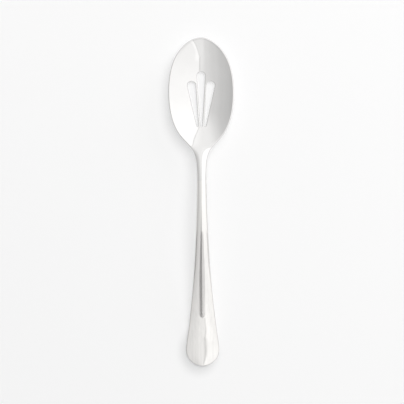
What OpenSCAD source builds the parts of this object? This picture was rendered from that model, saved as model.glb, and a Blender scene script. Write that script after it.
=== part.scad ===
// Slotted serving spoon, lying on its back with the bowl open upwards.
// The bowl points to +Y, the right-hand side is +X and the table is Z = 0.
// One set of control rows runs from the tip of the bowl to the end of the handle. A smooth curve through
// them gives the outline, the faces and the section at each station, for the bowl and the handle alike.

/* [Overall] */
// Length over all, from the tip of the bowl to the end of the handle
spoon_l = 230; // [190:1:260]
// Height of the top of the arch in the stem above the table
arch_h = 19; // [15:0.5:26]

/* [Bowl] */
// Length from the tip to the neck, where the bowl has run out into the stem
bowl_l = 88; // [75:1:100]
// Width of the bowl where it is widest
bowl_w = 46; // [36:0.5:54]
// Depth of the hollow, from the rim down to the floor
bowl_depth = 8.4; // [6:0.2:11]
// Thickness of the floor of the bowl
floor_t = 1.8; // [1.4:0.1:2.4]
// Thickness of the rim of the bowl
rim_t = 1.5; // [1.2:0.1:2]

/* [Slots] */
// Length of the middle slot
middle_slot_l = 38.5; // [30:0.5:42]
// Length of each outer slot
outer_slot_l = 32; // [24:0.5:36]
// Width of a slot at its round, wide end
slot_w = 5.8; // [4:0.1:6.4]
// Width of a slot at its narrow end, towards the stem
slot_tip_w = 1.3; // [1:0.1:2]
// Width of the bars between the slots at their wide end
bar_w = 1.3; // [1:0.1:2]
// Distance from the tip of the bowl to the narrow ends of the slots
slots_foot = 62; // [58:0.5:68]

/* [Stem] */
// Width of the stem at its thinnest, behind the bowl
neck_w = 6.5; // [5:0.1:9]
// Thickness of the stem at its thinnest
neck_t = 4.4; // [3.4:0.1:6]
// Distance from the neck to the face where the handle is welded to the bowl
weld_offset = 12; // [8:1:18]

/* [Handle] */
// Width of the handle near its end
end_w = 23.4; // [18:0.2:28]
// Thickness of the handle at its end
end_t = 2.6; // [2:0.1:3.6]

/* [Rib] */
// Width of the raised rib on the handle
rib_w = 4.8; // [4:0.1:7]
// Height of the rib above the handle
rib_h = 1.35; // [0.6:0.05:1.6]
// Length of the rib from where it rises out of the stem to its blunt end
rib_l = 85; // [70:1:100]
// Distance from the blunt end of the rib to the end of the handle
rib_gap = 34; // [26:1:44]
// Length of the rounded nose at the blunt end of the rib
rib_nose = 4; // [3:0.5:6]

/* [Hidden] */

steel_color = [0.8, 0.81, 0.82];

// How many stations and faces the smooth surfaces are cut into
bowl_stations = 44;
handle_stations = 28;
end_stations = 16;
nose_stations = 5;
face_steps = 6;
rib_steps = 3;
edge_steps = 4;
slot_facets = 24;

// Control rows of the bowl, from beyond its tip to the neck
bowl_along_shares = [-0.015, 0.03, 0.18, 0.41, 0.63, 0.785, 0.885];
bowl_across_shares = [0, 0.455, 0.91, 1.03, 0.96, 0.7, 0.23];
bowl_dish_shares = [-0.135, 0.27, 0.86, 1.01, 1.03, 0.55, -0.18];
bowl_lift_shares = [0.02, 0.01, 0, 0, 0, 0, 0];
bowl_thick_shares = [1, 1, 1, 1, 1, 1.1, 1.5];

// Control rows of the stem and the handle, from the neck to beyond the end
stem_along_shares = [0, 0.1, 0.25, 0.41, 0.56, 0.71, 0.82, 0.89, 0.95, 0.992, 1.004];
stem_spread_shares = [0, 0, 0.06, 0.17, 0.32, 0.57, 0.79, 0.97, 1.04, 0.36];
stem_height_shares = [0.73, 0.9, 1.04, 0.95, 0.7, 0.38, 0.14, 0, 0, 0, 0];
stem_thick_shares = [1, 1.05, 1, 0.85, 0.65, 0.4, 0.15, 0, 0, 0, 0];
stem_crown_shares = [0.2, 0.45, 0.5, 0.48, 0.42, 0.36, 0.33, 0.32, 0.32, 0.32, -0.16];
stem_belly_shares = [0.3, 0.3, 0.3, 0.25, 0.16, 0.08, 0, 0, 0, 0, 0];
stem_round_shares = [0.8, 1, 1, 0.9, 0.6, 0.3, 0.1, 0, 0, 0, 0];

// Share of the half width at the thin line round each face where the edge begins to turn over
edge_share = 0.2;
// Share of the half width that the middle band of the upper face takes where there is no rib
band_share = 0.4;
// Shares of the rib's length over which it rises to its full height and widens to its full width
rib_high_share = 0.6;
rib_wide_share = 0.9;
// Shares of its full width that the rib has where it rises and at the tip of its nose
rib_root_share = 0.25;
rib_tip_share = 0.35;
// How hollow the flanks of the rib are: 1 is a straight flank, more is hollower
rib_power = 1.15;

stem_l = spoon_l - bowl_l;
rim_h = bowl_depth + floor_t;
weld_along = bowl_l + weld_offset;
rib_end = spoon_l - rib_gap;
rib_start = rib_end - rib_l;

// Each row: place along the spoon, half width, height of the upper face on the centre line and at its
// edge, height of the underside on the centre line and at its edge, roundness, and size of the edge
bowl_rows = [for (i = [0:len(bowl_along_shares) - 1])
    let (rim = rim_h + bowl_lift_shares[i] * (arch_h - rim_h),
         crest = rim - bowl_dish_shares[i] * bowl_depth)
    [bowl_along_shares[i] * bowl_l, bowl_across_shares[i] * bowl_w / 2, crest, rim,
     crest - bowl_thick_shares[i] * floor_t, rim - bowl_thick_shares[i] * rim_t, 0, rim_t / 2]];

stem_rows = [for (i = [0:len(stem_along_shares) - 1])
    let (half = i < len(stem_spread_shares) ? (neck_w + stem_spread_shares[i] * (end_w - neck_w)) / 2 : 0,
         thick = end_t + stem_thick_shares[i] * (neck_t - end_t),
         crest = end_t + stem_height_shares[i] * (arch_h - end_t))
    [bowl_l + stem_along_shares[i] * stem_l, half, crest, crest - stem_crown_shares[i] * thick,
     crest - thick, crest - (1 - stem_belly_shares[i]) * thick, stem_round_shares[i],
     min(edge_share * neck_w, end_t / 3)]];

// The outline closes round at both ends, because the row beyond each end mirrors the one before it
function mirrored(row) = [for (i = [0:len(row) - 1]) i == 1 ? -row[i] : row[i]];
open_rows = concat(bowl_rows, stem_rows);
rows = concat([mirrored(open_rows[1])], open_rows, [mirrored(open_rows[len(open_rows) - 2])]);
last_t = len(open_rows) - 1;

// Smooth curve through the rows, a uniform cubic spline, and its direction
function blend(u) = [pow(1 - u, 3), 3 * pow(u, 3) - 6 * u * u + 4, -3 * pow(u, 3) + 3 * u * u + 3 * u + 1,
                     pow(u, 3)] / 6;
function blend_slope(u) = [-pow(1 - u, 2), 3 * u * u - 4 * u, -3 * u * u + 2 * u + 1, u * u] / 2;
function mixed(weights, i) = weights[0] * rows[i] + weights[1] * rows[i + 1]
                           + weights[2] * rows[i + 2] + weights[3] * rows[i + 3];
function knot(t) = min(floor(t), last_t - 1);
function at(t) = mixed(blend(t - knot(t)), knot(t));
function slope_at(t) = mixed(blend_slope(t - knot(t)), knot(t));

// Curve parameter at a place along the spoon, by halving the interval
function find_t(along, low = 0, high = last_t, tries = 30) =
    tries == 0 ? (low + high) / 2
    : let (middle = (low + high) / 2)
      at(middle)[0] < along ? find_t(along, middle, high, tries - 1) : find_t(along, low, middle, tries - 1);

function smooth(u) = let (c = max(0, min(1, u))) c * c * (3 - 2 * c);

// Rib: its rise out of the stem, its blunt nose and the half width of its foot
function rib_nose_share(along) = sqrt(1 - pow(max(0, min(1, (along - rib_end + rib_nose) / rib_nose)), 2));
function rib_rise(along, share) = smooth((along - rib_start) / (share * rib_l));
function rib_height(along) = rib_h * rib_rise(along, rib_high_share) * rib_nose_share(along);
function rib_half(along) = rib_w / 2 * max(rib_tip_share, rib_nose_share(along))
    * (rib_root_share + (1 - rib_root_share) * rib_rise(along, rib_wide_share));

// Places across a face as shares of its half width, from the left edge to the right edge, with lines on
// the foot of the rib
function across(foot) = concat(
    [for (i = [0:face_steps]) -foot - (1 - foot) * cos(90 * i / face_steps)],
    [for (i = [1:2 * rib_steps - 1]) foot * (i / rib_steps - 1)],
    [for (i = [0:face_steps]) foot + (1 - foot) * sin(90 * i / face_steps)]);

// Closed section at curve parameter t: upper face, right edge, underside, left edge
function section(t) =
    let (row = at(t), way = slope_at(t), pace = norm([way[0], way[1]]),
         out_x = way[0] / pace, out_s = -way[1] / pace,
         edge = row[7], inner = row[1] - edge * out_x, along = row[0] - edge * out_s,
         full = inner + edge, round = row[6],
         crest = row[2], rim = row[3], keel = row[4], chine = row[5], level = (rim + chine) / 2,
         foot = along > weld_along && rib_half(along) < band_share * inner
             ? rib_half(along) / inner : band_share,
         turn = asin(inner / full))
    let (upper = [for (v = across(foot))
             let (dished = crest + (rim - crest) * v * v,
                  arched = level + (crest - level) * sqrt(1 - pow(v * inner / full, 2)),
                  rib = rib_height(along) * pow(max(0, 1 - abs(v) / foot), rib_power))
             [v * inner, spoon_l / 2 - along, dished * (1 - round) + arched * round + rib]],
         lower = [for (v = across(foot))
             let (dished = keel + (chine - keel) * v * v,
                  arched = level - (level - keel) * sqrt(1 - pow(v * inner / full, 2)))
             [-v * inner, spoon_l / 2 - along, dished * (1 - round) + arched * round]],
         rim_edge = [for (i = [1:edge_steps - 1])
             let (flat_turn = 90 - 180 * i / edge_steps,
                  arch_turn = turn + (180 - 2 * turn) * i / edge_steps,
                  reach = edge * cos(flat_turn) * (1 - round) + (full * sin(arch_turn) - inner) * round,
                  arched = level + (cos(arch_turn) > 0 ? crest - level : level - keel) * cos(arch_turn),
                  high = (level + (rim - chine) / 2 * sin(flat_turn)) * (1 - round) + arched * round)
             [inner + reach * out_x, spoon_l / 2 - along - reach * out_s, high]],
         other_edge = [for (i = [edge_steps - 2:-1:0]) [-rim_edge[i][0], rim_edge[i][1], rim_edge[i][2]]])
    concat(upper, rim_edge, lower, other_edge);

// Solid through a list of sections, each end closed by strips between its left and right halves
module loft(ts) {
    rings = [for (t = ts) section(t)];
    n = len(rings[0]);
    top_n = 2 * (face_steps + rib_steps) + 1;
    last = len(rings) - 1;
    points = [for (ring = rings) each ring];
    sides = [for (i = [0:last - 1], j = [0:n - 1])
        let (k = (j + 1) % n, a = i * n + j, b = i * n + k, c = a + n, d = b + n)
        each [[a, b, d], [a, d, c]]];
    // A point and the one that mirrors it in the same ring
    function twin(j) = (top_n - 1 - j + n) % n;
    half = (top_n - 1) / 2;
    strips = [for (j = [half:half + n / 2 - 1]) [j, (j + 1) % n, twin(j + 1), twin(j)]];
    start_cap = [for (s = strips) [s[3], s[2], s[1], s[0]]];
    end_cap = [for (s = strips) [for (p = s) last * n + p]];
    polyhedron(points, concat(sides, start_cap, end_cap));
}

function spread(from, to, steps) = [for (i = [0:steps]) from + (to - from) * i / steps];

// Outline of a slot that hangs from its wide end at the origin
module slot_outline(length) {
    wide_r = slot_w / 2;
    tip_r = slot_tip_w / 2;
    hull() {
        translate([0, -wide_r]) circle(r = wide_r, $fn = slot_facets);
        translate([0, tip_r - length]) circle(r = tip_r, $fn = slot_facets);
    }
}

module slot_cut(length) {
    translate([0, 0, -floor_t]) linear_extrude(height = arch_h + floor_t) slot_outline(length);
}

weld_t = find_t(weld_along);
nose_t = find_t(rib_end - rib_nose);
rib_end_t = find_t(rib_end);

// Pitch of the slots at their wide ends and at their narrow ends, and the lean of the outer ones
wide_pitch = slot_w + bar_w;
tip_pitch = slot_tip_w + bar_w;
slot_lean = asin((wide_pitch - tip_pitch) / outer_slot_l);

module bowl() {
    color(steel_color)
    difference() {
        loft(spread(0, weld_t, bowl_stations));
        translate([0, spoon_l / 2 - slots_foot]) {
            translate([0, middle_slot_l]) slot_cut(middle_slot_l);
            for (side = [-1, 1])
                translate([side * tip_pitch, 0]) rotate(-side * slot_lean)
                    translate([0, outer_slot_l]) slot_cut(outer_slot_l);
        }
    }
}

module handle() {
    color(steel_color)
    loft(concat(spread(weld_t, nose_t, handle_stations),
                [for (i = [1:nose_stations]) nose_t + (rib_end_t - nose_t) * sin(90 * i / nose_stations)],
                [for (i = [1:end_stations]) rib_end_t + (last_t - rib_end_t) * i / end_stations]));
}

bowl();
handle();
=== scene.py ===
import math

import bmesh
import bpy
import numpy as np
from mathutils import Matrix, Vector
from mathutils.geometry import delaunay_2d_cdt


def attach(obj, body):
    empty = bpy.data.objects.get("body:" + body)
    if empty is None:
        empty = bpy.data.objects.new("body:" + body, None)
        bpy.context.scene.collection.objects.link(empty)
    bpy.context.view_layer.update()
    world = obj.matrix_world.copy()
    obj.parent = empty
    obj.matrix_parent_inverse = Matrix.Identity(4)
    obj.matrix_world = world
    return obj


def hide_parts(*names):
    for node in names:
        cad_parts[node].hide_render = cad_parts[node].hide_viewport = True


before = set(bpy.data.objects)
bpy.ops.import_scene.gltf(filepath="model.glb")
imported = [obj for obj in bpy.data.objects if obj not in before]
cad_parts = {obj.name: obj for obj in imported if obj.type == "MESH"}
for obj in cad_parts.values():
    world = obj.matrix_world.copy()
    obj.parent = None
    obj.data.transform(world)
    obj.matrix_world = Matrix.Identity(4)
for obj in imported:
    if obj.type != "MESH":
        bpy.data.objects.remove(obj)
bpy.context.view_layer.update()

# All lengths are in metres. The spoon's own sizes are written in millimetres times MM.
MM = 0.001

# Overall sizes, as in the part's source
SPOON_L = 230 * MM
ARCH_H = 19 * MM
BOWL_L = 88 * MM
BOWL_W = 46 * MM
BOWL_DEPTH = 8.4 * MM
FLOOR_T = 1.8 * MM
RIM_T = 1.5 * MM
MIDDLE_SLOT_L = 38.5 * MM
OUTER_SLOT_L = 32 * MM
SLOT_W = 5.8 * MM
SLOT_TIP_W = 1.3 * MM
BAR_W = 1.3 * MM
SLOTS_FOOT = 62 * MM
NECK_W = 6.5 * MM
NECK_T = 4.4 * MM
WELD_OFFSET = 12 * MM
END_W = 23.4 * MM
END_T = 2.6 * MM
RIB_W = 4.8 * MM
RIB_H = 1.35 * MM
RIB_L = 85 * MM
RIB_GAP = 34 * MM
RIB_NOSE = 4 * MM

# Control rows of the bowl, from beyond its tip to the neck
BOWL_ALONG_SHARES = (-0.015, 0.03, 0.18, 0.41, 0.63, 0.785, 0.885)
BOWL_ACROSS_SHARES = (0, 0.455, 0.91, 1.03, 0.96, 0.7, 0.23)
BOWL_DISH_SHARES = (-0.135, 0.27, 0.86, 1.01, 1.03, 0.55, -0.18)
BOWL_LIFT_SHARES = (0.02, 0.01, 0, 0, 0, 0, 0)
BOWL_THICK_SHARES = (1, 1, 1, 1, 1, 1.1, 1.5)

# Control rows of the stem and the handle, from the neck to beyond the end
STEM_ALONG_SHARES = (0, 0.1, 0.25, 0.41, 0.56, 0.71, 0.82, 0.89, 0.95, 0.992, 1.004)
STEM_SPREAD_SHARES = (0, 0, 0.06, 0.17, 0.32, 0.57, 0.79, 0.97, 1.04, 0.36)
STEM_HEIGHT_SHARES = (0.73, 0.9, 1.04, 0.95, 0.7, 0.38, 0.14, 0, 0, 0, 0)
STEM_THICK_SHARES = (1, 1.05, 1, 0.85, 0.65, 0.4, 0.15, 0, 0, 0, 0)
STEM_CROWN_SHARES = (0.2, 0.45, 0.5, 0.48, 0.42, 0.36, 0.33, 0.32, 0.32, 0.32, -0.16)
STEM_BELLY_SHARES = (0.3, 0.3, 0.3, 0.25, 0.16, 0.08, 0, 0, 0, 0, 0)
STEM_ROUND_SHARES = (0.8, 1, 1, 0.9, 0.6, 0.3, 0.1, 0, 0, 0, 0)

# Radius of the stem's edge, as a share of the neck's width and at most that share of the end's
# thickness, and the middle band as a share of each face's half width
EDGE_SHARE = 0.2
EDGE_MOST_SHARE = 1 / 3
BAND_SHARE = 0.52

# Rib: how far along it has its full height and its full width, its width at the root and at the nose,
# and the power that shapes its flanks
RIB_HIGH_SHARE = 0.6
RIB_WIDE_SHARE = 0.9
RIB_ROOT_SHARE = 0.25
RIB_TIP_SHARE = 0.35
RIB_POWER = 1.15

STEM_L = SPOON_L - BOWL_L
RIM_H = BOWL_DEPTH + FLOOR_T
WELD_ALONG = BOWL_L + WELD_OFFSET
RIB_END = SPOON_L - RIB_GAP
RIB_START = RIB_END - RIB_L


def control_rows():
    """Rows of place along, half width, heights of the upper face and the underside, roundness and edge."""
    rows = []
    for along, across, dish, lift, thick in zip(BOWL_ALONG_SHARES, BOWL_ACROSS_SHARES, BOWL_DISH_SHARES,
                                                BOWL_LIFT_SHARES, BOWL_THICK_SHARES):
        rim = RIM_H + lift * (ARCH_H - RIM_H)
        crest = rim - dish * BOWL_DEPTH
        rows.append([along * BOWL_L, across * BOWL_W / 2, crest, rim, crest - thick * FLOOR_T,
                     rim - thick * RIM_T, 0, RIM_T / 2])
    edge = min(EDGE_SHARE * NECK_W, EDGE_MOST_SHARE * END_T)
    for i, along in enumerate(STEM_ALONG_SHARES):
        last = i == len(STEM_ALONG_SHARES) - 1
        half = 0 if last else (NECK_W + STEM_SPREAD_SHARES[i] * (END_W - NECK_W)) / 2
        thick = END_T + STEM_THICK_SHARES[i] * (NECK_T - END_T)
        crest = END_T + STEM_HEIGHT_SHARES[i] * (ARCH_H - END_T)
        rows.append([BOWL_L + along * STEM_L, half, crest, crest - STEM_CROWN_SHARES[i] * thick,
                     crest - thick, crest - (1 - STEM_BELLY_SHARES[i]) * thick, STEM_ROUND_SHARES[i], edge])
    rows = np.array(rows)
    flip = np.ones(rows.shape[1])
    flip[1] = -1
    return np.vstack([rows[1] * flip, rows, rows[-2] * flip])


ROWS = control_rows()
LAST_T = len(ROWS) - 3

# Fineness of the meshes: rings along, then steps across each face, its middle band and its edge
BOWL_RINGS = 241
BOWL_STEPS = (26, 22, 8)
STEM_RINGS = 181
NOSE_RINGS = 13
END_RINGS = 81
HANDLE_STEPS = (18, 8, 8)
HALVINGS = 40
HEIGHT_STEPS = 6000
LEAST_W = 1e-6 * MM

# Easing of the slots' edges and the fineness of the mesh round them
EASE_R = 0.5 * MM
EASE_HOLD = 0.06 * MM
GRID_GAP = 0.15 * MM
PATCH_MARGIN = 2 * MM
WELD_DISTANCE = 0.0002 * MM
EASE_STEPS = 5
CUT_TOLERANCE = 1e-6
INSIDE_SHARE = 1 - 1e-3
HEAD_STEPS = 30
FOOT_STEPS = 12
SIDE_STEPS = 64


def curve(t):
    """Values and slopes of the smooth curve through the rows at the parameters t."""
    t = np.asarray(t, float)
    k = np.clip(np.floor(t).astype(int), 0, LAST_T - 1)
    u = t - k
    weights = np.stack([(1 - u) ** 3, 3 * u ** 3 - 6 * u ** 2 + 4, -3 * u ** 3 + 3 * u ** 2 + 3 * u + 1,
                        u ** 3]) / 6
    slopes = np.stack([-(1 - u) ** 2, 3 * u ** 2 - 4 * u, -3 * u ** 2 + 2 * u + 1, u ** 2]) / 2
    near = np.stack([ROWS[k + i] for i in range(4)])
    return np.einsum("kn,knc->nc", weights, near), np.einsum("kn,knc->nc", slopes, near)


def find_t(along):
    """Curve parameter at a place along the spoon, by halving the interval."""
    low, high = 0.0, float(LAST_T)
    for _ in range(HALVINGS):
        middle = (low + high) / 2
        if curve([middle])[0][0, 0] < along:
            low = middle
        else:
            high = middle
    return (low + high) / 2


def smooth(u):
    """0 up to 0, 1 from 1 on, smooth between."""
    u = np.clip(u, 0, 1)
    return u * u * (3 - 2 * u)


def rib_nose_share(along):
    """Share of the rib's height and width that is left in its round nose."""
    return np.sqrt(1 - np.clip((along - RIB_END + RIB_NOSE) / RIB_NOSE, 0, 1) ** 2)


def rib_rise(along, share):
    return smooth((along - RIB_START) / (share * RIB_L))


def rib_height(along):
    return RIB_H * rib_rise(along, RIB_HIGH_SHARE) * rib_nose_share(along)


def rib_half(along):
    share = RIB_ROOT_SHARE + (1 - RIB_ROOT_SHARE) * rib_rise(along, RIB_WIDE_SHARE)
    return RIB_W / 2 * np.maximum(RIB_TIP_SHARE, rib_nose_share(along)) * share


def across(foot, face_steps, band_steps):
    """Places across a face as shares of its half width, from left to right, one row per station."""
    quarter = np.linspace(0, math.pi / 2, face_steps + 1)
    foot = foot[:, None]
    left = -foot - (1 - foot) * np.cos(quarter)
    band = foot * (np.arange(1, 2 * band_steps) / band_steps - 1)
    right = foot + (1 - foot) * np.sin(quarter)
    return np.hstack([left, band, right])


def sections(ts, face_steps, band_steps, edge_steps):
    """Closed rings of points, one per parameter: upper face, right edge, underside, left edge."""
    row, way = curve(ts)
    pace = np.hypot(way[:, 0], way[:, 1])
    out_x, out_s = way[:, 0] / pace, -way[:, 1] / pace
    half, crest, rim, keel, chine, rounding, edge = (row[:, [i]] for i in range(1, 8))
    inner = half - edge * out_x[:, None]
    along = row[:, [0]] - edge * out_s[:, None]
    full = inner + edge
    level = (rim + chine) / 2
    width = np.maximum(inner[:, 0], LEAST_W)
    rib_foot = np.minimum(rib_half(along[:, 0]) / width, BAND_SHARE)
    foot = np.where(along[:, 0] > WELD_ALONG, rib_foot, BAND_SHARE)
    v = across(foot, face_steps, band_steps)
    reach = np.sqrt(np.maximum(0, 1 - (v * inner / full) ** 2))
    dished = crest + (rim - crest) * v ** 2
    arched = level + (crest - level) * reach
    rib = rib_height(along) * np.maximum(0, 1 - np.abs(v) / foot[:, None]) ** RIB_POWER
    y = SPOON_L / 2 - along + 0 * v
    upper = np.stack([v * inner, y, dished * (1 - rounding) + arched * rounding + rib], -1)
    dished = keel + (chine - keel) * v ** 2
    arched = level - (level - keel) * reach
    lower = np.stack([-v * inner, y, dished * (1 - rounding) + arched * rounding], -1)
    i = np.arange(1, edge_steps) / edge_steps
    flat_turn = math.pi / 2 - math.pi * i
    turn = np.arcsin(np.clip(inner / full, 0, 1))
    arch_turn = turn + (math.pi - 2 * turn) * i
    out = edge * np.cos(flat_turn) * (1 - rounding) + (full * np.sin(arch_turn) - inner) * rounding
    arched = level + np.where(np.cos(arch_turn) > 0, crest - level, level - keel) * np.cos(arch_turn)
    high = (level + (rim - chine) / 2 * np.sin(flat_turn)) * (1 - rounding) + arched * rounding
    side = np.stack([inner + out * out_x[:, None], SPOON_L / 2 - along - out * out_s[:, None], high], -1)
    other = side[:, ::-1] * np.array([-1, 1, 1])
    return np.concatenate([upper, side, lower, other], 1)


def loft(name, ts, face_steps, band_steps, edge_steps, patch=None):
    """Closed mesh through the sections at ts. A tip, where a section folds flat, closes by itself.
    With patch = (first ring, last ring), the middle band between them is left to slotted_patch."""
    rings = sections(ts, face_steps, band_steps, edge_steps)
    count, n = rings.shape[:2]
    columns = 2 * face_steps + 2 * band_steps + 1
    under = columns + edge_steps - 1
    band = range(face_steps, face_steps + 2 * band_steps)
    open_cells = set(band) | {under + j for j in band}
    bm = bmesh.new()
    verts = [bm.verts.new(p) for p in rings.reshape(-1, 3).tolist()]
    for i in range(count - 1):
        for j in range(n):
            if patch and patch[0] <= i < patch[1] and j in open_cells:
                continue
            k = (j + 1) % n
            near, far = i * n, (i + 1) * n
            bm.faces.new([verts[near + j], verts[far + j], verts[far + k], verts[near + k]])
    if ts[0] > 0:
        bm.faces.new(verts[:n])
    if ts[-1] < LAST_T:
        bm.faces.new(verts[(count - 1) * n:][::-1])
    if patch:
        grid = rings[patch[0]:patch[1] + 1, face_steps:face_steps + 2 * band_steps + 1]
        slotted_patch(bm, grid)
    bmesh.ops.remove_doubles(bm, verts=bm.verts, dist=WELD_DISTANCE)
    bmesh.ops.delete(bm, geom=[v for v in bm.verts if not v.link_faces], context="VERTS")
    bmesh.ops.recalc_face_normals(bm, faces=bm.faces)
    mesh = bpy.data.meshes.new(name)
    bm.to_mesh(mesh)
    bm.free()
    obj = bpy.data.objects.new(name, mesh)
    bpy.context.scene.collection.objects.link(obj)
    return obj


def slot_frames():
    """Foot point, lean and length of each slot in plan."""
    wide_pitch = SLOT_W + BAR_W
    tip_pitch = SLOT_TIP_W + BAR_W
    lean = math.asin((wide_pitch - tip_pitch) / OUTER_SLOT_L)
    foot_y = SPOON_L / 2 - SLOTS_FOOT
    return [(0.0, foot_y, 0.0, MIDDLE_SLOT_L), (tip_pitch, foot_y, -lean, OUTER_SLOT_L),
            (-tip_pitch, foot_y, lean, OUTER_SLOT_L)]


def slot_outline(frame_of_slot, grow):
    """Points round a slot, moved out by grow: wide round end, left side, narrow round end, right side."""
    x, y, lean, length = frame_of_slot
    wide, tip = SLOT_W / 2, SLOT_TIP_W / 2
    run = length - wide - tip
    tilt = math.asin((wide - tip) / run)
    head = -tilt + (math.pi + 2 * tilt) * np.linspace(0, 1, HEAD_STEPS + 1)
    foot = math.pi + tilt + (math.pi - 2 * tilt) * np.linspace(0, 1, FOOT_STEPS + 1)
    top = np.stack([(wide + grow) * np.cos(head), length - wide + (wide + grow) * np.sin(head)], 1)
    low = np.stack([(tip + grow) * np.cos(foot), tip + (tip + grow) * np.sin(foot)], 1)
    share = np.linspace(0, 1, SIDE_STEPS + 1)[1:-1, None]
    left = top[-1] + (low[0] - top[-1]) * share
    right = low[-1] + (top[0] - low[-1]) * share
    points = np.vstack([top, left, low, right])
    c, d = math.cos(lean), math.sin(lean)
    return np.stack([x + points[:, 0] * c - points[:, 1] * d, y + points[:, 0] * d + points[:, 1] * c], 1)


def slot_distance(points, frame_of_slot):
    """Distance of plan points from a slot's edge, negative inside."""
    x, y, lean, length = frame_of_slot
    wide, tip = SLOT_W / 2, SLOT_TIP_W / 2
    run = length - wide - tip
    c, d = math.cos(-lean), math.sin(-lean)
    px, py = points[:, 0] - x, points[:, 1] - y
    qx, qy = np.abs(px * c - py * d), px * d + py * c - tip
    sine = (tip - wide) / run
    cosine = math.sqrt(1 - sine * sine)
    k = -sine * qx + cosine * qy
    beside = cosine * qx + sine * qy - tip
    beyond = np.where(k > cosine * run, np.hypot(qx, qy - run) - wide, beside)
    return np.where(k < 0, np.hypot(qx, qy) - tip, beyond)


def face_heights(points):
    """Heights of the bowl's upper face and of its underside at plan points."""
    fine = np.linspace(0, find_t(WELD_ALONG), HEIGHT_STEPS)
    row, way = curve(fine)
    out_s = -way[:, 1] / np.hypot(way[:, 0], way[:, 1])
    t = np.interp(SPOON_L / 2 - points[:, 1], row[:, 0] - row[:, 7] * out_s, fine)
    row, way = curve(t)
    out_x = way[:, 0] / np.hypot(way[:, 0], way[:, 1])
    half, crest, rim, keel, chine, rounding, edge = (row[:, i] for i in range(1, 8))
    inner = half - edge * out_x
    v = points[:, 0] / inner
    level = (rim + chine) / 2
    reach = np.sqrt(np.maximum(0, 1 - (points[:, 0] / (inner + edge)) ** 2))
    dished, arched = crest + (rim - crest) * v ** 2, level + (crest - level) * reach
    upper = dished * (1 - rounding) + arched * rounding
    dished, arched = keel + (chine - keel) * v ** 2, level - (level - keel) * reach
    return upper, dished * (1 - rounding) + arched * rounding


def slotted_patch(bm, grid):
    """Fills the open band of the bowl with a face that has the slots in it, their edges eased."""
    slots = slot_frames()
    turns = np.linspace(0, math.pi / 2, EASE_STEPS + 1)
    grows = list(EASE_R * (1 - np.cos(turns))) + [EASE_R + EASE_HOLD]
    drops = list(EASE_R * (1 - np.sin(turns))) + [0.0]
    plan = grid[..., :2].reshape(-1, 2)
    rows, cols = grid.shape[:2]
    on_border = np.zeros((rows, cols), bool)
    on_border[[0, -1], :] = True
    on_border[:, [0, -1]] = True
    nearest = np.min([slot_distance(plan, s) for s in slots], axis=0)
    keep = on_border.ravel() | (nearest > EASE_R + EASE_HOLD + GRID_GAP)
    number = -np.ones(len(plan), int)
    number[keep] = np.arange(keep.sum())
    number = number.reshape(rows, cols)
    loop = list(number[0, :]) + list(number[1:, -1]) + list(number[-1, -2::-1]) + list(number[-2:0:-1, 0])
    edges = [(int(loop[i]), int(loop[(i + 1) % len(loop)])) for i in range(len(loop))]
    points = [plan[keep]]
    start = int(keep.sum())
    for s in slots:
        ring = slot_outline(s, grows[-1])
        points.append(ring)
        edges += [(start + i, start + (i + 1) % len(ring)) for i in range(len(ring))]
        start += len(ring)
    points = np.vstack(points)
    flat = [Vector((p[0] / MM, p[1] / MM)) for p in points]
    _, _, faces, origins, _, _ = delaunay_2d_cdt(flat, edges, [], 0, CUT_TOLERANCE)
    source = [o[0] for o in origins]
    faces = [[source[i] for i in f] for f in faces]
    middles = np.array([points[f].mean(0) for f in faces])
    off_slots = np.min([slot_distance(middles, s) for s in slots], axis=0)
    open_ground = off_slots > grows[-1] * INSIDE_SHARE
    upper, lower = face_heights(points)
    for heights in (upper, lower):
        verts = [bm.verts.new((p[0], p[1], z)) for p, z in zip(points, heights)]
        for f, solid in zip(faces, open_ground):
            if solid:
                bm.faces.new([verts[i] for i in f])
    for s in slots:
        rings = []
        for grow, drop in zip(grows[::-1], drops[::-1]):
            ring = slot_outline(s, grow)
            rings.append((ring, face_heights(ring)[0] - drop))
        for grow, drop in zip(grows, drops):
            ring = slot_outline(s, grow)
            rings.append((ring, face_heights(ring)[1] + drop))
        made = [[bm.verts.new((p[0], p[1], z)) for p, z in zip(*ring)] for ring in rings]
        for a, b in zip(made, made[1:]):
            for i in range(len(a)):
                k = (i + 1) % len(a)
                bm.faces.new([a[i], a[k], b[k], b[i]])


SHARP_ANGLE = math.radians(32)


def shade(obj):
    """Smooth shading, with the edges that turn more than the sharp angle kept sharp."""
    bm = bmesh.new()
    bm.from_mesh(obj.data)
    for face in bm.faces:
        face.smooth = True
    for edge in bm.edges:
        edge.smooth = len(edge.link_faces) == 2 and edge.calc_face_angle(0) < SHARP_ANGLE
    bm.to_mesh(obj.data)
    bm.free()


def link(tree, a, b):
    tree.links.new(a, b)


def noise(tree, coords, scale):
    """Noise over the object, with its own scale per metre along each axis."""
    place = tree.nodes.new("ShaderNodeMapping")
    place.inputs["Scale"].default_value = scale
    link(tree, coords.outputs["Object"], place.inputs["Vector"])
    texture = tree.nodes.new("ShaderNodeTexNoise")
    texture.inputs["Scale"].default_value = 1
    texture.inputs["Detail"].default_value = NOISE_DETAIL
    link(tree, place.outputs["Vector"], texture.inputs["Vector"])
    return texture.outputs["Fac"]


def spread_out(tree, value, source, target):
    """The value, stretched from the source range to the target range."""
    node = tree.nodes.new("ShaderNodeMapRange")
    node.inputs["From Min"].default_value, node.inputs["From Max"].default_value = source
    node.inputs["To Min"].default_value, node.inputs["To Max"].default_value = target
    link(tree, value, node.inputs["Value"])
    return node.outputs["Result"]


def between(tree, share, low, high):
    """Colour between two colours, low where the share is 0."""
    node = tree.nodes.new("ShaderNodeMix")
    node.data_type = "RGBA"
    node.inputs["A"].default_value = (*low, 1)
    node.inputs["B"].default_value = (*high, 1)
    link(tree, share, node.inputs["Factor"])
    return node.outputs["Result"]


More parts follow.
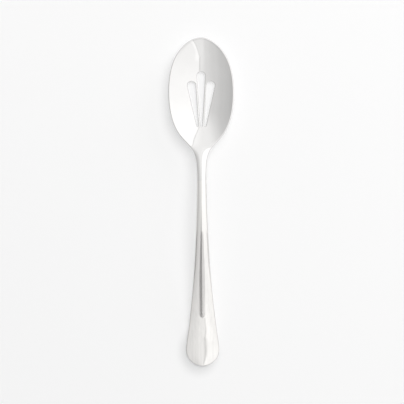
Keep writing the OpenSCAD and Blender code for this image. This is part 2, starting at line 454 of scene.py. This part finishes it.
# Haze patches per metre, even on the bowl and drawn out into long streaks on the handle
BOWL_HAZE = (60, 60, 60)
HANDLE_HAZE = (750, 14, 750)
BOWL_TONES = ((0.678, 0.672, 0.665), (0.703, 0.697, 0.69))
HANDLE_TONES = ((0.692, 0.681, 0.665), (0.734, 0.722, 0.706))

# Polishing lines per metre, and what the noise makes of the steel's roughness and bump
POLISH_LINES = (2600, 90, 2600)
NOISE_DETAIL = 3
HAZE_RANGE = (0.3, 0.7)
LINES_RANGE = (0.3, 0.75)
ROUGHNESS = (0.035, 0.11)
BUMP_STRENGTH = 0.02
BUMP_DEPTH = 0.1 * MM


def steel(name, haze_scale, tone_low, tone_high):
    """Mirror-polished stainless steel with faint polishing lines and a little haze between two tones."""
    material = bpy.data.materials.new(name)
    material.use_nodes = True
    tree = material.node_tree
    shader = tree.nodes["Principled BSDF"]
    shader.inputs["Metallic"].default_value = 1
    coords = tree.nodes.new("ShaderNodeTexCoord")
    lines = noise(tree, coords, POLISH_LINES)
    haze = spread_out(tree, noise(tree, coords, haze_scale), HAZE_RANGE, (0, 1))
    link(tree, between(tree, haze, tone_low, tone_high), shader.inputs["Base Color"])
    link(tree, spread_out(tree, lines, LINES_RANGE, ROUGHNESS), shader.inputs["Roughness"])
    bump = tree.nodes.new("ShaderNodeBump")
    bump.inputs["Strength"].default_value = BUMP_STRENGTH
    bump.inputs["Distance"].default_value = BUMP_DEPTH
    link(tree, lines, bump.inputs["Height"])
    link(tree, bump.outputs["Normal"], shader.inputs["Normal"])
    return material


def make_bowl():
    """The bowl with its heel and the root of the stem, and the three slots through its floor."""
    ts = np.linspace(0, find_t(WELD_ALONG), BOWL_RINGS)
    along = curve(ts)[0][:, 0]
    first = int(np.searchsorted(along, SLOTS_FOOT - MIDDLE_SLOT_L - PATCH_MARGIN))
    last = int(np.searchsorted(along, SLOTS_FOOT + PATCH_MARGIN))
    obj = loft("bowl_polished", ts, *BOWL_STEPS, (first, last))
    shade(obj)
    obj.data.materials.append(steel("bowl_steel_polish", BOWL_HAZE, *BOWL_TONES))
    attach(obj, "root")
    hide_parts("bowl")
    return obj


def make_handle():
    """The stem and the rounded end, with rings set closer round the rib's nose."""
    weld_t, nose_t, end_t = find_t(WELD_ALONG), find_t(RIB_END - RIB_NOSE), find_t(RIB_END)
    stem = np.linspace(weld_t, nose_t, STEM_RINGS)
    nose = nose_t + (end_t - nose_t) * np.sin(np.linspace(0, math.pi / 2, NOSE_RINGS))[1:]
    ts = np.concatenate([stem, nose, np.linspace(end_t, LAST_T, END_RINGS)[1:]])
    obj = loft("handle_polished", ts, *HANDLE_STEPS)
    shade(obj)
    obj.data.materials.append(steel("handle_steel_polish", HANDLE_HAZE, *HANDLE_TONES))
    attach(obj, "root")
    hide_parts("handle")
    return obj


class Nodes:
    """Short forms for math nodes in one node tree."""

    def __init__(self, tree):
        self.tree = tree

    def math(self, operation, *values):
        node = self.tree.nodes.new("ShaderNodeMath")
        node.operation = operation
        for socket, value in zip(node.inputs, values):
            if isinstance(value, (int, float)):
                socket.default_value = value
            else:
                self.tree.links.new(value, socket)
        return node.outputs[0]

    def plane(self, xyz, weights):
        """weights . direction"""
        parts = [self.math("MULTIPLY", part, weight) for part, weight in zip(xyz, weights)]
        return self.math("ADD", self.math("ADD", parts[0], parts[1]), parts[2])

    def step(self, value, low, high):
        """0 up to low, 1 from high on, smooth between."""
        node = self.tree.nodes.new("ShaderNodeMapRange")
        node.interpolation_type = "SMOOTHSTEP"
        node.inputs["From Min"].default_value = low
        node.inputs["From Max"].default_value = high
        self.tree.links.new(value, node.inputs["Value"])
        return node.outputs["Result"]

    def fall(self, value, low, high):
        """1 up to low, 0 from high on, smooth between."""
        return self.math("SUBTRACT", 1.0, self.step(value, low, high))

    def mix(self, share, a, b):
        """a where the share is 0, b where it is 1"""
        keep = self.math("SUBTRACT", 1.0, share)
        return self.math("ADD", self.math("MULTIPLY", a, keep), self.math("MULTIPLY", b, share))

    def both(self, *shares):
        """Product of shares: 1 only where all are 1"""
        total = shares[0]
        for share in shares[1:]:
            total = self.math("MULTIPLY", total, share)
        return total

    def ramp(self, value, stops):
        """Smooth curve through (place from 0 to 1, height) stops, heights up to RAMP_TOP."""
        node = self.tree.nodes.new("ShaderNodeValToRGB")
        node.color_ramp.interpolation = "EASE"
        elements = node.color_ramp.elements
        while len(elements) < len(stops):
            elements.new(0.5)
        for element, (place, height) in zip(elements, stops):
            share = height / RAMP_TOP
            element.position = place
            element.color = (share, share, share, 1)
        self.tree.links.new(value, node.inputs["Fac"])
        return self.math("MULTIPLY", node.outputs["Color"], RAMP_TOP)


# Brightness of the studio as the polished steel sees it. Grey walls: stops from the far left, at 0, to
# the far right, at 1, then the walls beyond the bowl's tip and the wall on the viewer's side.
RAMP_TOP = 2.0
SIDE_STOPS = ((0.0, 0.45), (0.02, 0.68), (0.05, 0.76), (0.09, 0.8), (0.2, 0.9), (0.36, 1.0), (0.5, 1.16))
FAR_SIDE = 1.24
FAR_RIGHT = 1.37
NEAR_SIDE = 1.16
NEAR_LOW = 0.6

# The white diffuser, or box: its white beyond the tip, toward the viewer and near the horizon, then
# the share of the walls' light on its dark frame, and what its bright rim adds
BOX_WHITE = 1.52
BOX_NEAR = 1.28
BOX_LOW = 1.4
BOX_FRAME = 0.78
BOX_RIM = 0.12

# Share of the studio's light that reaches the table, which has a light of its own
STUDIO_ON_TABLE = 0.06

# Edges of the diffuser as planes through the spoon, which give the distance inside: overhead, toward the
# viewer, away, and the corner mirrored in the bowl's heel, and how softly the white starts there
EDGE_OVERHEAD = (1.0, 0.0, -0.099)
EDGE_NEAR = (1.8, 1.0, 0.35)
EDGE_FAR = (1.0, -0.15, -0.07)
EDGE_CORNER = (0.9, -0.42, 0.126)
EDGE_BLEND = (-0.015, 0.015)

# Where one brightness goes over into the next, along the part of the direction that the name ends in
FAR_Y = (0.1, 0.6)
FAR_STOP_MINUS_X = (0.15, 0.9)
FAR_RIGHT_X = (-0.1, 0.25)
NEAR_MINUS_Y = (0.2, 0.7)
NEAR_X = (-0.25, 0.0)
NEAR_LOW_MINUS_Y = (0.35, 0.7)
NEAR_LOW_Z = (0.1, 0.42)
BOX_NEAR_MINUS_Y = (-0.5, 0.6)
BOX_LOW_Z = (0.08, 0.22)

# Places of the rim and of the frame, as distances inside and outside the diffuser's edge
RIM_MINUS_Y = (0.3, 0.44)
RIM_START = (-0.01, 0.02)
RIM_STOP = (0.12, 0.26)
FRAME_START = (-0.07, -0.04)
FRAME_STOP = (-0.03, -0.01)


def make_studio():
    """Soft studio: one wide white diffuser on the right that reaches overhead, greyer walls elsewhere."""
    world = bpy.data.worlds.new("studio")
    bpy.context.scene.world = world
    world.use_nodes = True
    tree = world.node_tree
    background = tree.nodes["Background"]
    coords = tree.nodes.new("ShaderNodeTexCoord")
    split = tree.nodes.new("ShaderNodeSeparateXYZ")
    tree.links.new(coords.outputs["Generated"], split.inputs[0])
    x, y, z = (split.outputs[i] for i in range(3))
    n = Nodes(tree)
    minus_x, minus_y = n.math("MULTIPLY", x, -1.0), n.math("MULTIPLY", y, -1.0)
    walls = grey_walls(n, x, y, minus_x, minus_y)
    edge = n.math("MINIMUM", n.plane((x, y, z), EDGE_OVERHEAD), n.plane((x, y, z), EDGE_NEAR))
    for normal in (EDGE_FAR, EDGE_CORNER):
        edge = n.math("MINIMUM", edge, n.plane((x, y, z), normal))
    border = n.math("SUBTRACT", n.step(edge, *FRAME_START), n.step(edge, *FRAME_STOP))
    walls = n.math("MULTIPLY", walls, n.mix(border, 1.0, BOX_FRAME))
    total = n.mix(n.step(edge, *EDGE_BLEND), walls, diffuser(n, edge, minus_y, z))
    low = n.both(n.step(minus_y, *NEAR_LOW_MINUS_Y), n.fall(z, *NEAR_LOW_Z))
    total = n.math("MULTIPLY", total, n.mix(low, 1.0, NEAR_LOW))
    path = tree.nodes.new("ShaderNodeLightPath")
    scattered = n.math("MINIMUM", path.outputs["Diffuse Depth"], 1.0)
    total = n.math("MULTIPLY", total, n.mix(scattered, 1.0, STUDIO_ON_TABLE))
    tree.links.new(total, background.inputs["Strength"])
    background.inputs["Color"].default_value = (1, 1, 1, 1)


def grey_walls(n, x, y, minus_x, minus_y):
    """Walls that grow lighter from left to right, lighter still beyond the tip and on the viewer's side."""
    walls = n.ramp(n.math("MULTIPLY", n.math("ADD", x, 1.0), 0.5), SIDE_STOPS)
    far = n.mix(n.step(x, *FAR_RIGHT_X), FAR_SIDE, FAR_RIGHT)
    walls = n.mix(n.both(n.step(y, *FAR_Y), n.fall(minus_x, *FAR_STOP_MINUS_X)), walls, far)
    return n.mix(n.both(n.step(minus_y, *NEAR_MINUS_Y), n.step(x, *NEAR_X)), walls, NEAR_SIDE)


def diffuser(n, edge, minus_y, z):
    """White of the diffuser: brighter along its rim, dimmer toward the viewer and the horizon."""
    white = n.mix(n.step(minus_y, *BOX_NEAR_MINUS_Y), BOX_WHITE, BOX_NEAR)
    rim = n.both(n.step(minus_y, *RIM_MINUS_Y), n.step(edge, *RIM_START), n.fall(edge, *RIM_STOP))
    white = n.math("ADD", white, n.math("MULTIPLY", rim, BOX_RIM))
    return n.mix(n.fall(z, *BOX_LOW_Z), white, BOX_LOW)


MATTE_ROUGHNESS = 0.9
MOTTLE_SCALE = 6
MOTTLE_SHARE = 0.99


def matte(name, colour, glow, glow_slope=(0, 0, 0), pools=()):
    """Matte stage surface with a faint mottle and some light of its own, which may rise to one side.
    Each pool, painted light or painted shade where its extra light is negative = (place across, place
    along, inner reach, outer reach, squeeze along, extra light)."""
    material = bpy.data.materials.new(name)
    material.use_nodes = True
    tree = material.node_tree
    shader = tree.nodes["Principled BSDF"]
    shader.inputs["Roughness"].default_value = MATTE_ROUGHNESS
    shader.inputs["Specular IOR Level"].default_value = 0.0
    coords = tree.nodes.new("ShaderNodeTexCoord")
    mottle = tree.nodes.new("ShaderNodeTexNoise")
    mottle.inputs["Scale"].default_value = MOTTLE_SCALE
    link(tree, coords.outputs["Object"], mottle.inputs["Vector"])
    darker = [c * MOTTLE_SHARE for c in colour]
    link(tree, between(tree, mottle.outputs["Fac"], darker, colour), shader.inputs["Base Color"])
    shader.inputs["Emission Color"].default_value = (1, 1, 1, 1)
    n = Nodes(tree)
    split = tree.nodes.new("ShaderNodeSeparateXYZ")
    link(tree, coords.outputs["Object"], split.inputs[0])
    xyz = [split.outputs[i] for i in range(3)]
    lit = n.math("ADD", n.plane(xyz, glow_slope), glow)
    # Painted pools of light, or of shade where the extra light is negative, in the surface's own glow
    for place_x, place_y, inner, outer, squeeze, extra in pools:
        aside = n.math("SUBTRACT", xyz[0], place_x)
        off = n.math("MULTIPLY", n.math("SUBTRACT", xyz[1], place_y), squeeze)
        square = n.math("ADD", n.math("MULTIPLY", aside, aside), n.math("MULTIPLY", off, off))
        near = n.fall(n.math("SQRT", square), inner, outer)
        lit = n.math("ADD", lit, n.math("MULTIPLY", near, extra))
    link(tree, lit, shader.inputs["Emission Strength"])
    return material


def stage_card(name, corners, material):
    """A flat four-cornered piece of the stage."""
    mesh = bpy.data.meshes.new(name)
    mesh.from_pydata(corners, [], [(0, 1, 2, 3)])
    card = bpy.data.objects.new(name, mesh)
    bpy.context.scene.collection.objects.link(card)
    mesh.materials.append(material)
    return card


# The table, a little under the spoon, with a light of its own that rises to the right and away
FLOOR_R = 3.0
FLOOR_DROP = 0.1 * MM
FLOOR_COLOUR = (0.4, 0.4, 0.4)
FLOOR_GLOW = 0.608
FLOOR_GLOW_SLOPE = (0.13, 0.15, 0.0)
# Painted shadow round the handle's end, the table's own light lowered there rather than cast: place, inner
# and outer reach, squeeze, amount
END_PAINTED_SHADOW = (-2.5 * MM, -104.7 * MM, 8.5 * MM, 17.5 * MM, 0.85, -0.15)

# Low cards on both sides of the handle: a dark flag on the left and a glowing reply to it on the right
CARD_OFF = 150 * MM
CARD_Y = (-200 * MM, -30 * MM)
CARD_H = 75 * MM
CARD_COLOUR = (0.5, 0.5, 0.5)
FLAG_GLOW = 0.0
REPLY_GLOW = 0.7


def make_floor():
    """A plain pale table under the spoon and two low cards beside the handle that only the steel sees."""
    r, z = FLOOR_R, -FLOOR_DROP
    # The table's material carries a painted shadow round the handle's end.
    stage_card("table", [(-r, -r, z), (r, -r, z), (r, r, z), (-r, r, z)],
               matte("pale_table", FLOOR_COLOUR, FLOOR_GLOW, FLOOR_GLOW_SLOPE, (END_PAINTED_SHADOW,)))
    low, high = CARD_Y
    for name, x, glow in (("flag", -CARD_OFF, FLAG_GLOW), ("reply", CARD_OFF, REPLY_GLOW)):
        card = stage_card(name, [(x, low, z), (x, high, z), (x, high, CARD_H), (x, low, CARD_H)],
                          matte(name + "_card", CARD_COLOUR, glow))
        card.visible_camera = False
        card.visible_shadow = False
        card.visible_diffuse = False


# Lamps light the table softly. The steel doesn't mirror them: it mirrors the studio, table and cards.
KEY_FROM = (0.28, 0.37, 1.0)
KEY_SPREAD = math.radians(48)
KEY_POWER = 2.35
LOW_FROM = (0.74, 0.62, 0.28)
LOW_SPREAD = math.radians(36)
LOW_POWER = 1.0


def make_lamp(name, origin, spread, power):
    """A far lamp that shines from the side where origin lies, as wide as its spread."""
    data = bpy.data.lights.new(name, "SUN")
    data.energy = power
    data.angle = spread
    lamp = bpy.data.objects.new(name, data)
    bpy.context.scene.collection.objects.link(lamp)
    lamp.rotation_mode = "QUATERNION"
    lamp.rotation_quaternion = (-Vector(origin)).to_track_quat("-Z", "Y")
    lamp.visible_glossy = False


# Camera: straight above, with the frame's centre and the spoon's lean as measured in the photograph,
# and at a distance that shows the spoon in the photograph's scale at its mean height
PHOTO_PIXELS = 404
SPOON_PIXELS = 329
FRAME_W = PHOTO_PIXELS * SPOON_L / SPOON_PIXELS
LENS = 200.0
SENSOR = 36.0
LEAN = math.radians(0.35)
CENTRE_X = 0.16 * MM
CENTRE_Y = 0.1 * MM
MEAN_H = 7 * MM
CLIP = (0.01, 20)


def make_camera():
    data = bpy.data.cameras.new("camera")
    data.lens = LENS
    data.sensor_width = SENSOR
    camera = bpy.data.objects.new("camera", data)
    bpy.context.scene.collection.objects.link(camera)
    distance = FRAME_W * LENS / SENSOR
    camera.location = (CENTRE_X, CENTRE_Y, MEAN_H + distance)
    camera.rotation_euler = (0, 0, -LEAN)
    data.clip_start, data.clip_end = CLIP
    bpy.context.scene.camera = camera


make_camera()
make_bowl()
make_handle()
make_floor()
make_studio()
make_lamp("key", KEY_FROM, KEY_SPREAD, KEY_POWER)
make_lamp("low", LOW_FROM, LOW_SPREAD, LOW_POWER)
bpy.context.scene.view_settings.view_transform = "Standard"
